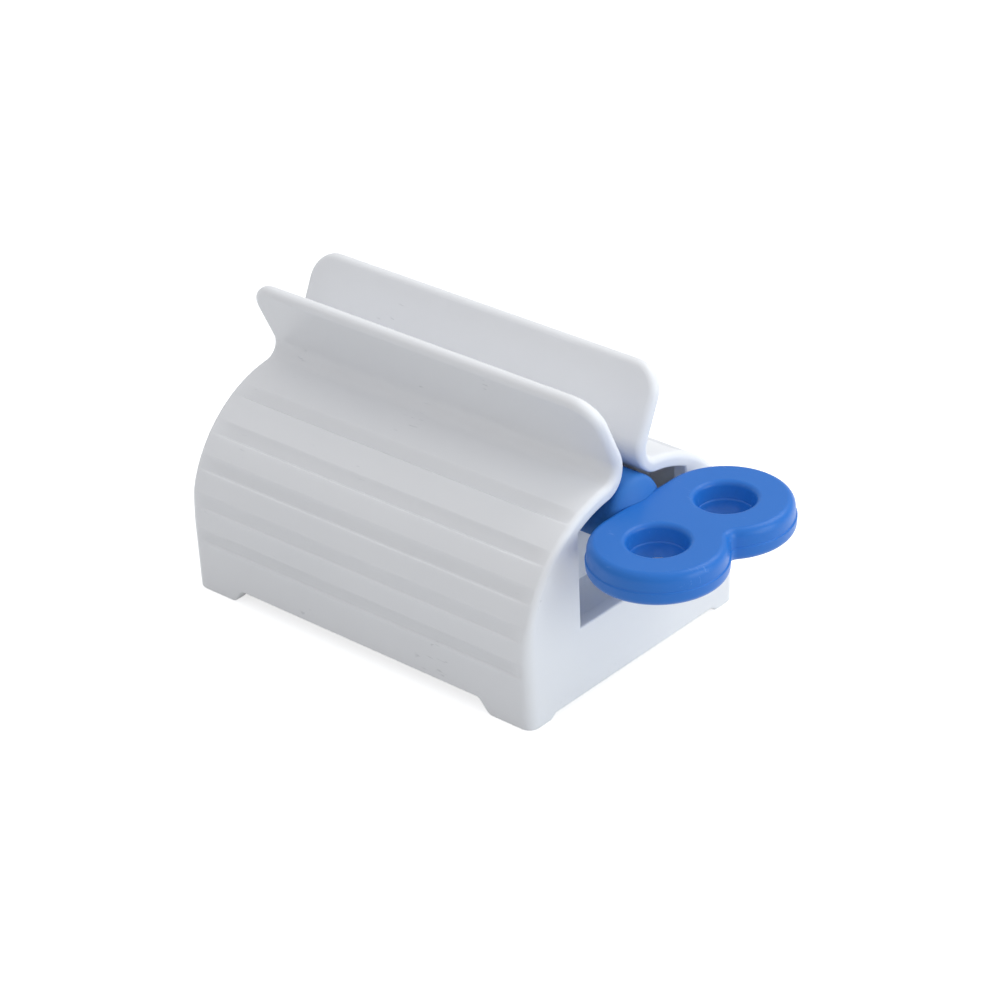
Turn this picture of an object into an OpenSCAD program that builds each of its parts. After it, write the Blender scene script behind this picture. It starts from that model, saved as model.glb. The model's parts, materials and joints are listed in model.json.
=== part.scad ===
// Toothpaste dispenser: a white holder that a tube hangs in by its tail, and a blue key that winds the tail up.
// X runs along the holder, with the key at its +X end. Z is up, and Z = 0 is the surface the feet stand on.
// The origin is under the middle of the whole object, key included. All sizes are in millimetres.

/* [Holder] */
// Length of the holder, end face to end face
holder_l = 72; // [60:1:100]
// Depth of the holder over its lower walls
holder_w = 51; // [47:1:60]
// Height of the straight lower walls, where the shoulders start to turn in
wall_h = 12; // [9:0.5:18]
// Radius of the shoulders, outside
shoulder_r = 22.3; // [20.5:0.1:24]
// Thickness of the shell
wall_t = 2.3; // [1.8:0.1:2.6]
// How far the lower walls lean in at the foot
wall_draft = 0.3; // [0:0.1:0.6]
// Radius of the four upright corners
corner_r = 2; // [1:0.5:4]

/* [Lips] */
// Width of the slot between the lips, at the neck
slot_w = 3.4; // [2.4:0.2:4.4]
// Radius of the hollow between a shoulder and its lip
neck_r = 2.4; // [2:0.1:3.5]
// Lean of each lip away from upright, in degrees
lip_lean = 25; // [15:1:32]
// Length of the straight part of each lip
lip_l = 9.55; // [6:0.05:14]
// Radius of the lips' end corners, seen from the front
lip_corner_r = 5; // [3:0.5:9]

/* [Grip bands] */
// Number of recessed bands on each side
band_n = 5; // [3:1:5]
// Width of a band, along the surface
band_w = 2.8; // [1.5:0.1:3.5]
// Distance from band to band, along the surface
band_pitch = 6.2; // [5:0.1:6.6]
// Depth of a band
band_d = 0.4; // [0.2:0.1:0.8]
// Angle of the lowest band below the shoulder's start, in degrees
band_start = -3.7; // [-5:0.1:3]
// Extra distance up to the topmost band, along the surface
band_top = 1.2; // [0:0.1:1.6]

/* [End windows] */
// Width of the window in each end
window_w = 25.8; // [22:0.2:30]
// Height of the window's sill, level with the inner floor
sill_h = 13; // [12:0.5:15]

/* [Feet] */
// Length of a foot along the holder
foot_l = 8.1; // [5:0.1:12]
// Length of a foot across the holder
foot_w = 4.9; // [3.5:0.1:8]
// Rise of the front and back edges between the feet
foot_rise = 2.4; // [1:0.1:3.5]
// Rise of the end edges between the feet
end_rise = 0.8; // [0.3:0.1:2]
// Length of the slope from a foot to the front or back edge beside it
foot_slope = 2.9; // [1.5:0.1:5]
// Length of the slope from a foot to the end edge beside it
end_slope = 1.5; // [0.8:0.1:3]

/* [Cradle] */
// Thickness of the cradle's floor
floor_t = 1.8; // [1.2:0.1:2.4]
// Thickness of a bearing post, along the spindle
post_t = 2.4; // [1.6:0.1:4]
// Width of a bearing post at the spindle
post_w = 16.6; // [14:0.2:20]
// Width of a bearing post at the floor
post_foot_w = 22; // [17:0.5:24]
// How far the posts rise above the spindle's axis
post_rise = 4; // [2:0.1:4.2]
// Distance from the key end face to the post behind it
post_inset = 9.5; // [7:0.5:14]
// Height of the ribs under the floor
floor_rib_h = 3; // [1.5:0.1:4]
// Thickness of the ribs under the floor
floor_rib_t = 1.4; // [1:0.1:2]
// Number of ribs across the floor
floor_rib_n = 4; // [2:1:6]
// Depth of the shell's ribs that stop the cradle
stop_d = 1.4; // [1:0.1:2]
// Thickness of the shell's ribs that stop the cradle
stop_t = 1.8; // [1.2:0.1:3]
// Depth of the snaps that hold the cradle up
snap_d = 0.9; // [0.5:0.1:1.3]
// Height of the snaps
snap_h = 2.4; // [1.5:0.1:3.5]
// Width of a snap
snap_w = 6; // [3:0.5:10]
// Distance of the stop ribs and snaps from each end face
stop_inset = 15; // [10:0.5:20]

/* [Spindle] */
// Diameter of the spindle in its bearings
journal_d = 11.6; // [9.6:0.1:12.4]
// Diameter of the split part that winds the tube
winding_d = 9.2; // [7:0.2:10]
// Width of the split that takes the tube's tail
split_w = 1.6; // [1:0.1:2.4]
// How far a journal runs on past its post
journal_spare = 1; // [0.4:0.1:3]
// Length of the cone between the two diameters
taper_l = 2.2; // [1:0.1:4]
// How far the domed end reaches over the handle
dome_h = 2.2; // [1:0.1:3]
// How far the tips reach past the far post
tip_l = 2.4; // [1.5:0.1:4]
// How much narrower the tips end
tip_round = 1.2; // [0.4:0.1:1.5]
// How far the snap bead stands out of the tips
bead_h = 0.3; // [0.1:0.1:0.6]
// Width of the tab that plugs into the spindle
tab_w = 8; // [5:0.5:8.5]
// Thickness of the tab
tab_t = 4; // [2.5:0.1:4.8]
// Length of the tab
tab_l = 7.5; // [4:0.5:8]

/* [Handle] */
// Outer radius of each finger ring
ring_r = 10.9; // [9:0.1:13]
// Radius of each finger hole
finger_r = 4.6; // [4:0.05:6]
// Distance of each ring's centre from the spindle's axis
ring_off = 8.2; // [7:0.1:9.4]
// Thickness of the handle
handle_t = 5.3; // [5:0.1:6.5]
// Rounding of the handle's outer edges
handle_edge_r = 1.6; // [0.8:0.1:2.4]
// Rounding of the finger holes' rims
rim_r = 1.1; // [0.4:0.1:1.2]

/* [Clearances] */
// Gap between the spindle and the shell's roof, beside the slot
roof_gap = 0.45; // [0.2:0.05:1.5]
// Gap between the spindle and its bearings, on the radius
bearing_gap = 0.05; // [0.02:0.01:0.09]
// Gap between the snap bead and the far post
bead_gap = 0.1; // [0.05:0.05:0.3]
// Gap between the handle and the end face
handle_gap = 0.4; // [0.3:0.1:1]
// Gap between the cradle and the shell's walls
cradle_gap = 0.2; // [0.1:0.05:0.4]
// Gap between the tab and its socket
tab_gap = 0.03; // [0.02:0.01:0.1]

/* [Hidden] */
smooth = 96;        // fragments of a full circle
fine = 48;          // fragments of a small circle
steps = 8;          // straight pieces in a drawn curve
past = 1;           // how far a cut runs past what it cuts
weld = 0.2;         // how far two shapes overlap where they join
weld_a = 8;         // the same, as an angle round the neck's hollow

// Along X: the key stands out of the holder by key_out, and the whole is centred on the origin
key_out = handle_gap + 2 * ring_r;
holder_x0 = -(holder_l + key_out) / 2;
holder_x1 = holder_x0 + holder_l;
handle_x0 = holder_x1 + handle_gap;
ring_x = handle_x0 + ring_r;
inner_x0 = holder_x0 + wall_t;
inner_x1 = holder_x1 - wall_t;

// The arch, as a half profile with its mirror image
shoulder_y = holder_w / 2 - shoulder_r;
inner_w = holder_w - 2 * wall_t;
neck_y = slot_w / 2 + wall_t;
hollow_y = neck_y + neck_r;
hollow_z = wall_h + sqrt(pow(shoulder_r + neck_r, 2) - pow(hollow_y - shoulder_y, 2));
lip_mid_r = neck_r + wall_t / 2;
lip_y = hollow_y - lip_mid_r * cos(lip_lean);
lip_z = hollow_z + lip_mid_r * sin(lip_lean);
tip_y = lip_y + lip_l * sin(lip_lean) + wall_t / 2 * sin(lip_lean);
tip_z = lip_z + lip_l * cos(lip_lean) + wall_t / 2 * cos(lip_lean);
top_z = tip_z + wall_t / 2;
hollow_a = atan2(hollow_z - wall_h, hollow_y - shoulder_y);
band_a = band_pitch / shoulder_r * 180 / PI;
band_half_a = band_w / shoulder_r * 90 / PI;
band_top_a = band_top / shoulder_r * 180 / PI;

// The spindle's axis hangs as high under the roof as its gap allows
journal_r = journal_d / 2;
winding_r = winding_d / 2;
axis_h = hollow_z - sqrt(pow(neck_r + wall_t + journal_r + roof_gap, 2) - pow(hollow_y, 2));

// The cradle and its posts
floor_x0 = inner_x0 + cradle_gap;
floor_x1 = inner_x1 - cradle_gap;
floor_w = inner_w - 2 * cradle_gap;
far_post_x = floor_x0;
near_post_x = holder_x1 - post_inset - post_t;
bore_r = journal_r + bearing_gap;
stops_x = [holder_x0 + stop_inset, holder_x1 - stop_inset];

// The spindle's stations along X
near_cone_x = near_post_x - journal_spare;
far_cone_x = far_post_x + post_t + journal_spare;
bead_x = far_post_x - bead_gap;
tip_x = far_post_x - tip_l;
split_end_x = near_cone_x - taper_l;
dome_r = (pow(journal_r, 2) + pow(dome_h, 2)) / (2 * dome_h);

// A wedge of a circle, from angle a0 to a1, as a polygon that reaches past radius r
module wedge(r, a0, a1)
    polygon([[0, 0], for (i = [0 : steps]) let (a = a0 + (a1 - a0) * i / steps) r * [cos(a), sin(a)]]);

// Draws a shape and its mirror image across the middle plane
module both_sides() {
    children();
    mirror([1, 0, 0]) children();
}

// Stands a profile drawn as (y, z) upright and runs it from x0 to x1
module along_x(x0, x1)
    translate([x0, 0, 0]) rotate([90, 0, 90]) linear_extrude(x1 - x0) children();

// One half of the arch's outline, filled, at depth d under the outer surface
module half_arch(d) {
    translate([shoulder_y, wall_h]) intersection() {
        circle(shoulder_r - d, $fn = smooth);
        square(shoulder_r);
    }
    square([shoulder_y, wall_h + shoulder_r - d]);
    polygon([[0, 0], [holder_w / 2 - d - (d > 0 ? 0 : wall_draft), 0],
             [holder_w / 2 - d, wall_h], [0, wall_h]]);
}

// The block that fills the hollow beside the neck, up to the hollow's own centre
module neck_block(d)
    difference() {
        polygon([[0, wall_h], [0, hollow_z], [hollow_y, hollow_z],
                 [shoulder_y + (shoulder_r - d) * cos(hollow_a), wall_h + (shoulder_r - d) * sin(hollow_a)]]);
        translate([hollow_y, hollow_z]) circle(neck_r + d, $fn = smooth);
    }

// One lip, from the neck up to its round tip
module lip() {
    translate([hollow_y, hollow_z]) intersection() {
        difference() {
            circle(neck_r + wall_t, $fn = smooth);
            circle(neck_r, $fn = smooth);
        }
        wedge(2 * (neck_r + wall_t), 180 - lip_lean, 180 + weld_a);
    }
    translate([lip_y, lip_z]) rotate(-lip_lean) {
        translate([-wall_t / 2, -weld]) square([wall_t, weld + lip_l + wall_t / 2]);
        translate([0, lip_l + wall_t / 2]) circle(wall_t / 2, $fn = fine);
    }
}

// The recessed bands, as pieces of a ring just inside the shoulder's surface
module bands()
    translate([shoulder_y, wall_h]) intersection() {
        difference() {
            circle(shoulder_r + past, $fn = smooth);
            circle(shoulder_r - band_d, $fn = smooth);
        }
        for (i = [0 : band_n - 1]) let (a = band_start + i * band_a + (i < band_n - 1 ? 0 : band_top_a))
            wedge(2 * shoulder_r, a - band_half_a, a + band_half_a);
    }

module outer_profile()
    both_sides() {
        difference() {
            union() {
                half_arch(0);
                neck_block(0);
            }
            bands();
        }
        lip();
    }

module inner_profile()
    both_sides() {
        half_arch(wall_t);
        neck_block(wall_t);
        square([slot_w / 2, hollow_z + past]);
    }

// The opening of an end window: the inside of the arch, between the jambs and above the sill
module window_profile()
    intersection() {
        inner_profile();
        translate([-window_w / 2, sill_h]) square([window_w, top_z]);
    }

// A rounded rectangle over x0 to x1, centred on y = 0
module round_plan(x0, x1, w, r)
    union() {
        translate([x0 + r, -w / 2]) square([x1 - x0 - 2 * r, w]);
        translate([x0, -w / 2 + r]) square([x1 - x0, w - 2 * r]);
        for (x = [x0 + r, x1 - r], y = [-w / 2 + r, w / 2 - r])
            translate([x, y]) circle(r, $fn = fine);
    }

// The front view that the body is cut to: square at the foot, with rounded top corners
module front_view() {
    translate([holder_x0 + lip_corner_r, -past]) square([holder_l - 2 * lip_corner_r, top_z + 2 * past]);
    translate([holder_x0, -past]) square([holder_l, top_z + past - lip_corner_r]);
    for (x = [holder_x0 + lip_corner_r, holder_x1 - lip_corner_r])
        translate([x, top_z - lip_corner_r]) circle(lip_corner_r, $fn = smooth);
}

// The relief under an edge of length l, as a smooth rise h over the length r from each foot of length f
module relief(l, f, h, r) {
    half = l / 2 - f;
    rise = [for (i = [0 : steps]) [half - r * i / steps, h * (1 - cos(180 * i / steps)) / 2]];
    mirrored = [for (i = [steps : -1 : 0]) [-rise[i][0], rise[i][1]]];
    polygon(concat([[-half, -past], [half, -past]], rise, mirrored));
}

module holder_shell()
    color([0.93, 0.94, 0.95]) {
        difference() {
            intersection() {
                along_x(holder_x0, holder_x1) outer_profile();
                translate([0, 0, -past]) linear_extrude(top_z + 2 * past)
                    round_plan(holder_x0, holder_x1, holder_w, corner_r);
                translate([0, holder_w / 2 + past, 0]) rotate([90, 0, 0])
                    linear_extrude(holder_w + 2 * past) front_view();
            }
            along_x(inner_x0, inner_x1) inner_profile();
            translate([inner_x0, -inner_w / 2, -past]) cube([inner_x1 - inner_x0, inner_w, past + wall_h / 2]);
            along_x(holder_x0 - past, holder_x1 + past) window_profile();
            translate([(holder_x0 + holder_x1) / 2, holder_w / 2 + past, 0]) rotate([90, 0, 0])
                linear_extrude(holder_w + 2 * past) relief(holder_l, foot_l, foot_rise, foot_slope);
            along_x(holder_x0 - past, holder_x1 + past) relief(holder_w, foot_w, end_rise, end_slope);
        }
        for (x = stops_x, side = [-1, 1])
            shell_stop(x, side);
    }

// A rib inside the shell that the cradle's floor stops against, with a snap below it
module shell_stop(x, side)
    mirror([0, side < 0 ? 1 : 0, 0]) {
        along_x(x - stop_t / 2, x + stop_t / 2) intersection() {
            difference() {
                half_arch(wall_t / 2);
                half_arch(wall_t + stop_d);
            }
            translate([0, sill_h]) square([holder_w, shoulder_r / 2]);
        }
        along_x(x - snap_w / 2, x + snap_w / 2)
            polygon([[inner_w / 2 + wall_t / 2, sill_h - floor_t], [inner_w / 2 - snap_d, sill_h - floor_t],
                     [inner_w / 2, sill_h - floor_t - snap_h], [inner_w / 2 + wall_t / 2, sill_h - floor_t - snap_h]]);
    }

// One bearing post, with its round seat open at the top under the slot
module post(x)
    along_x(x, x + post_t) difference() {
        polygon([[-post_foot_w / 2, sill_h - floor_t / 2], [post_foot_w / 2, sill_h - floor_t / 2],
                 [post_w / 2, axis_h], [post_w / 2, axis_h + post_rise],
                 [-post_w / 2, axis_h + post_rise], [-post_w / 2, axis_h]]);
        translate([0, axis_h]) circle(bore_r, $fn = smooth);
    }

module bearing_cradle()
    color([0.90, 0.91, 0.93]) {
        translate([floor_x0, -floor_w / 2, sill_h - floor_t]) cube([floor_x1 - floor_x0, floor_w, floor_t]);
        post(far_post_x);
        post(near_post_x);
        floor_ribs();
    }

// Stiffening ribs under the floor: a frame lengthways, and ribs across it
module floor_ribs() {
    rib_w = floor_w - 4 * snap_d;
    z = sill_h - floor_t - floor_rib_h;
    for (side = [-1, 1])
        translate([floor_x0, side * post_foot_w / 2 - floor_rib_t / 2, z])
            cube([floor_x1 - floor_x0, floor_rib_t, floor_rib_h + floor_t / 2]);
    for (i = [0 : floor_rib_n - 1])
        translate([floor_x0 + (floor_x1 - floor_x0 - floor_rib_t) * i / (floor_rib_n - 1), -rib_w / 2, z])
            cube([floor_rib_t, rib_w, floor_rib_h + floor_t / 2]);
}

// A round body turned on the spindle's axis, drawn as [place along X, radius] from end to end
module turned(stations)
    translate([0, 0, axis_h]) rotate([0, 90, 0]) rotate_extrude($fn = smooth)
        polygon([for (s = stations) [s[1], s[0]]]);

// The domed end: a ball cut to the journal's diameter
module dome()
    intersection() {
        translate([handle_x0 + dome_h - dome_r, 0, axis_h]) rotate([0, 90, 0]) sphere(dome_r, $fn = smooth);
        turned([[handle_x0 - weld, 0], [handle_x0 - weld, journal_r],
                [handle_x0 + dome_h + past, journal_r], [handle_x0 + dome_h + past, 0]]);
    }

module winding_spindle()
    color([0.20, 0.43, 0.82]) difference() {
        union() {
            turned([[tip_x, 0], [tip_x, journal_r - tip_round], [tip_x + tip_round, journal_r],
                    [far_cone_x, journal_r], [far_cone_x + taper_l, winding_r],
                    [near_cone_x - taper_l, winding_r], [near_cone_x, journal_r],
                    [handle_x0, journal_r], [handle_x0, 0]]);
            turned([[bead_x - 2 * bead_h, 0], [bead_x - 2 * bead_h, journal_r],
                    [bead_x - bead_h, journal_r + bead_h], [bead_x, journal_r], [bead_x, 0]]);
            dome();
        }
        translate([tip_x - past, -split_w / 2, axis_h - journal_d])
            cube([split_end_x - tip_x + past, split_w, 2 * journal_d]);
        translate([handle_x0 - tab_l - tab_gap, -tab_w / 2 - tab_gap, axis_h - tab_t / 2 - tab_gap])
            cube([tab_l + tab_gap + past, tab_w + 2 * tab_gap, tab_t + 2 * tab_gap]);
        translate([handle_x0, -journal_d, axis_h - handle_t / 2])
            cube([dome_h + past, 2 * journal_d, handle_t]);
    }

// A bar of the handle's thickness with round upper and lower edges on its low x side
module soft_edge_profile() {
    r = handle_edge_r;
    translate([r, -handle_t / 2]) square([ring_r - r, handle_t]);
    translate([0, -handle_t / 2 + r]) square([r, handle_t - 2 * r]);
    for (z = [-handle_t / 2 + r, handle_t / 2 - r])
        translate([r, z]) circle(r, $fn = fine);
}

// One finger ring, filled, with soft outer edges
module ring_blank()
    rotate_extrude($fn = smooth) mirror([1, 0]) translate([-ring_r, 0]) soft_edge_profile();

// The finger hole, with a soft rim on each face
module finger_hole()
    rotate_extrude($fn = smooth) {
        translate([0, -handle_t]) square([finger_r, 2 * handle_t]);
        for (side = [-1, 1]) difference() {
            translate([0, side > 0 ? handle_t / 2 - rim_r : -handle_t / 2 - past])
                square([finger_r + rim_r, rim_r + past]);
            translate([finger_r + rim_r, side * (handle_t / 2 - rim_r)]) circle(rim_r, $fn = fine);
        }
    }

module key_handle()
    color([0.16, 0.40, 0.80]) {
        difference() {
            union() {
                for (side = [-1, 1])
                    translate([ring_x, side * ring_off, axis_h]) ring_blank();
                translate([handle_x0, ring_off, axis_h]) rotate([90, 0, 0])
                    linear_extrude(2 * ring_off) soft_edge_profile();
            }
            for (side = [-1, 1])
                translate([ring_x, side * ring_off, axis_h]) finger_hole();
        }
        translate([handle_x0 - tab_l, -tab_w / 2, axis_h - tab_t / 2])
            cube([tab_l + ring_r / 2, tab_w, tab_t]);
    }

holder_shell();
bearing_cradle();
winding_spindle();
key_handle();
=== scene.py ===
import json
import math
import bmesh
import bpy
import numpy as np
from mathutils import Matrix, Vector


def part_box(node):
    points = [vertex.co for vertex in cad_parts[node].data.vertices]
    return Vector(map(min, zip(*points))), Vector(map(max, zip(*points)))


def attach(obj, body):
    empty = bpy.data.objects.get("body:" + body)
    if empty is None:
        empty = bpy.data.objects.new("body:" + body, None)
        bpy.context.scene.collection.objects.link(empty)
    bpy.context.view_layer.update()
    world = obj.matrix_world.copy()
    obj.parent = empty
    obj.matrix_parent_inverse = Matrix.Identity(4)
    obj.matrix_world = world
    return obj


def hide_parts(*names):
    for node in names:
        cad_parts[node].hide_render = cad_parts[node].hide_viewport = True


# Toothpaste dispenser: a white holder with a slot for the tube's tail, and a blue key that winds it up.
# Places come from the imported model. Sizes in the dictionaries are millimetres where no note says otherwise.

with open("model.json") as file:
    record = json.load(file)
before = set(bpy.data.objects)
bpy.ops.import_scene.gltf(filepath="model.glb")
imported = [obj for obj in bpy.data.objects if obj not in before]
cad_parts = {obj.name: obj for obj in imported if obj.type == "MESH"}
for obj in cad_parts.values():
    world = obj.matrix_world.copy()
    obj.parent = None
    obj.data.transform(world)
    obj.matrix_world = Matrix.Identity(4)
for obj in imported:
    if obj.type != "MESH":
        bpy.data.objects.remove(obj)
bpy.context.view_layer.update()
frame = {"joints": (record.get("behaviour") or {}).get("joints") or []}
mm = 0.001


def boxOf(node):
    low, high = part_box(node)
    return low / mm, high / mm


holderLow, holderHigh = boxOf("holder_shell")
cradleLow, cradleHigh = boxOf("bearing_cradle")
spindleLow = boxOf("winding_spindle")[0]
handleLow, handleHigh = boxOf("key_handle")
axisHigh = frame["joints"][0]["pos_m"][2] / mm
holderMiddle = (holderLow.x + holderHigh.x) / 2
print("frame loaded, spindle axis", round(axisHigh, 3), "mm up")

# camera, at the place that the photo was taken from; its turns are degrees, near and far are metres

camera = dict(azimuth=42.917, elevation=28.650, roll=2.756, distance=533.79, aimHigh=25.0, lens=122.25,
              sensor=36.0, shiftX=0.03825, shiftY=-0.03872, near=0.01, far=20)


def aimCamera(sizes):
    turn, rise, roll = (math.radians(sizes[k]) for k in ("azimuth", "elevation", "roll"))
    back = Vector((math.sin(turn) * math.cos(rise), -math.cos(turn) * math.cos(rise), math.sin(rise)))
    right = Vector((math.cos(turn), math.sin(turn), 0))
    up = back.cross(right)
    rolledRight = math.cos(roll) * right - math.sin(roll) * up
    rolledUp = math.sin(roll) * right + math.cos(roll) * up
    place = Vector((holderMiddle, 0, sizes["aimHigh"])) + sizes["distance"] * back
    eye = bpy.data.cameras.new("photoCamera")
    eye.lens, eye.sensor_width = sizes["lens"], sizes["sensor"]
    eye.shift_x, eye.shift_y = sizes["shiftX"], sizes["shiftY"]
    eye.clip_start, eye.clip_end = sizes["near"], sizes["far"]
    turnTo = Matrix((rolledRight, rolledUp, back)).transposed().to_4x4()
    stand = addPiece("photoCamera", eye)
    stand.matrix_world = Matrix.Translation(place * mm) @ turnTo
    bpy.context.scene.camera = stand


def addPiece(name, data):
    piece = bpy.data.objects.new(name, data)
    bpy.context.scene.collection.objects.link(piece)
    return piece


aimCamera(camera)
print("camera set")


# mesh work: patches share their corners, so that a piece closes as it is built

cornersToMm = 1e5  # corners that round to the same step are one
buildWeld, meltWeld = 2e-4, 1e-3


class Skin:
    def __init__(self):
        self.places, self.index, self.faces = [], {}, []

    def corner(self, place):
        key = tuple(int(round(c * cornersToMm)) for c in place)
        if key not in self.index:
            self.index[key] = len(self.places)
            self.places.append(tuple(float(c) for c in place))
        return self.index[key]

    def face(self, places):
        ring = [self.corner(p) for p in places]
        ring = [c for i, c in enumerate(ring) if c != ring[i - 1]]
        if len(set(ring)) == len(ring) > 2:
            self.faces.append(ring)

    def patch(self, rows, loop=False):
        for upper, lower in zip(rows, rows[1:]):
            last = len(upper) if loop else len(upper) - 1
            for i in range(last):
                j = (i + 1) % len(upper)
                self.face([upper[i], upper[j], lower[j], lower[i]])

    def bothSides(self, rows, loop=False):
        self.patch(rows, loop)
        self.patch([[mirrored(p) for p in row] for row in rows], loop)

    def build(self, name, sharpAngle=50):
        mesh = bpy.data.meshes.new(name)
        mesh.from_pydata([Vector(p) * mm for p in self.places], [], self.faces)
        work = bmesh.new()
        work.from_mesh(mesh)
        bmesh.ops.remove_doubles(work, verts=work.verts, dist=buildWeld * mm)
        bmesh.ops.recalc_face_normals(work, faces=work.faces)
        finishMesh(mesh, work, sharpAngle)
        return addPiece(name, mesh)


def finishMesh(mesh, work, sharpAngle=50):
    # writes the worked mesh back, shaded smooth between its sharp edges
    loose = sum(not edge.is_manifold for edge in work.edges)
    work.to_mesh(mesh)
    work.free()
    mesh.shade_smooth()
    mesh.set_sharp_from_angle(angle=math.radians(sharpAngle))
    print(f"{mesh.name}: {len(mesh.vertices)} points, open edges {loose}")


def mirrored(place):
    return place[0], -place[1], place[2]


def sweep(start, end, count):
    return [start + (end - start) * i / count for i in range(count + 1)]


def quarter(count):
    return [math.pi / 2 * i / count for i in range(count + 1)]


def bakedMesh(piece):
    # the piece as its modifiers leave it
    seen = piece.evaluated_get(bpy.context.evaluated_depsgraph_get())
    return bpy.data.meshes.new_from_object(seen)


def evenNormals(piece):
    fix = piece.modifiers.new("evenNormals", "WEIGHTED_NORMAL")
    fix.keep_sharp = True
    fix.weight = 60


# materials: pattern scales are to a metre, veilDeep and bumpDeep are metres

# groove is how much darker the colour is painted down in the grip bands: painted shade
whitePlastic = dict(light=(0.862, 0.868, 0.884), dull=(0.835, 0.842, 0.862), roughLow=0.36, roughHigh=0.50,
                    cloud=34, grain=2600, grainDeep=0.05, veil=0.40, shine=0.5, paintedGrooveShade=0.045,
                    mark=(0.64, 0.65, 0.67), markScale=1300, markRare=0.635, markShare=0.6)
# the cradle and ribs inside the shell take a darker copy of the white plastic: painted shade for the inside
shadedInnerPlastic = dict(whitePlastic, light=(0.830, 0.840, 0.862), dull=(0.805, 0.816, 0.842), roughLow=0.42,
                    roughHigh=0.56, cloud=30, grain=2200, grainDeep=0.06, paintedGrooveShade=0.0,
                    mark=(0.62, 0.63, 0.65), markScale=1100, markRare=0.66)
bluePlastic = dict(light=(0.021, 0.174, 0.602), dull=(0.014, 0.153, 0.560), roughLow=0.30, roughHigh=0.40,
                   cloud=60, grain=3200, grainDeep=0.04, veil=0.0, shine=0.34, paintedGrooveShade=0.0,
                   mark=(0.10, 0.27, 0.68), markScale=1200, markRare=0.62, markShare=0.5)
spindlePlastic = dict(bluePlastic, light=(0.030, 0.176, 0.550), dull=(0.022, 0.160, 0.515),
                      roughLow=0.50, roughHigh=0.60)
mould = dict(refraction=1.49, bumpDeep=0.0002, veilDeep=0.001)
scuffs = dict(slant=(0.5, 0.9, 0.35), stretch=(0.35, 1.6, 1.0), bend=0.6, thinFrom=0.66, thinTo=0.74,
              patchScale=110.0, patchSoft=0.06)


def nodeIn(tree, kind, **inputs):
    node = tree.nodes.new(kind)
    for name, value in inputs.items():
        node.inputs[name.replace("_", " ")].default_value = value
    return node


def mixColours(tree, first, second):
    mix = tree.nodes.new("ShaderNodeMix")
    mix.data_type = "RGBA"
    mix.inputs[6].default_value = (*first, 1)
    mix.inputs[7].default_value = (*second, 1)
    return mix


def plastic(name, sizes):
    made = bpy.data.materials.new(name)
    made.use_nodes = True
    tree = made.node_tree
    link = tree.links.new
    shader = tree.nodes["Principled BSDF"]
    place = tree.nodes.new("ShaderNodeTexCoord").outputs["Object"]
    # soft clouds in colour and polish
    cloud = nodeIn(tree, "ShaderNodeTexNoise", Scale=sizes["cloud"], Detail=3.0, Roughness=0.55)
    tint = mixColours(tree, sizes["light"], sizes["dull"])
    polish = nodeIn(tree, "ShaderNodeMapRange", To_Min=sizes["roughLow"], To_Max=sizes["roughHigh"])
    link(cloud.outputs["Fac"], tint.inputs["Factor"])
    link(cloud.outputs["Fac"], polish.inputs["Value"])
    link(polish.outputs["Result"], shader.inputs["Roughness"])
    # the mould's fine grain
    grain = nodeIn(tree, "ShaderNodeTexNoise", Scale=sizes["grain"], Detail=2.0, Roughness=0.6)
    relief = nodeIn(tree, "ShaderNodeBump", Strength=sizes["grainDeep"], Distance=mould["bumpDeep"])
    link(grain.outputs["Fac"], relief.inputs["Height"])
    link(relief.outputs["Normal"], shader.inputs["Normal"])
    # a few fine scuffs, gathered in small patches
    slant = nodeIn(tree, "ShaderNodeMapping", Rotation=scuffs["slant"], Scale=scuffs["stretch"])
    hair = nodeIn(tree, "ShaderNodeTexNoise", Scale=sizes["markScale"], Detail=1.0,
                  Distortion=scuffs["bend"])
    thin = nodeIn(tree, "ShaderNodeMapRange", From_Min=scuffs["thinFrom"], From_Max=scuffs["thinTo"])
    patch = nodeIn(tree, "ShaderNodeTexNoise", Scale=scuffs["patchScale"], Detail=1.0)
    rare = nodeIn(tree, "ShaderNodeMapRange", From_Min=sizes["markRare"],
                  From_Max=sizes["markRare"] + scuffs["patchSoft"])
    both = tree.nodes.new("ShaderNodeMath")
    both.operation = "MULTIPLY"
    share = nodeIn(tree, "ShaderNodeMapRange", To_Max=sizes["markShare"])
    scuffed = mixColours(tree, sizes["light"], sizes["mark"])
    link(slant.outputs["Vector"], hair.inputs["Vector"])
    link(hair.outputs["Fac"], thin.inputs["Value"])
    link(patch.outputs["Fac"], rare.inputs["Value"])
    link(thin.outputs["Result"], both.inputs[0])
    link(rare.outputs["Result"], both.inputs[1])
    link(both.outputs[0], share.inputs["Value"])
    link(share.outputs["Result"], scuffed.inputs["Factor"])
    link(tint.outputs[2], scuffed.inputs[6])
    for pattern in (cloud, grain, slant, patch):
        link(place, pattern.inputs["Vector"])
    # painted shade: the colour a little darker down in the grip bands, by how deep each point lies
    band = tree.nodes.new("ShaderNodeAttribute")
    band.attribute_name = "bandPaintedShade"
    shade = nodeIn(tree, "ShaderNodeMapRange", To_Min=1.0, To_Max=1.0 - sizes["paintedGrooveShade"])
    shadedBase = tree.nodes.new("ShaderNodeVectorMath")
    shadedBase.operation = "SCALE"
    link(band.outputs["Fac"], shade.inputs["Value"])
    link(scuffed.outputs[2], shadedBase.inputs[0])
    link(shade.outputs["Result"], shadedBase.inputs["Scale"])
    link(shadedBase.outputs[0], shader.inputs["Base Color"])
    shader.inputs["IOR"].default_value = mould["refraction"]
    shader.inputs["Specular IOR Level"].default_value = sizes["shine"]
    shader.inputs["Subsurface Weight"].default_value = sizes["veil"]
    shader.inputs["Subsurface Radius"].default_value = (1.0, 1.0, 1.0)
    shader.inputs["Subsurface Scale"].default_value = mould["veilDeep"]
    return made


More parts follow.
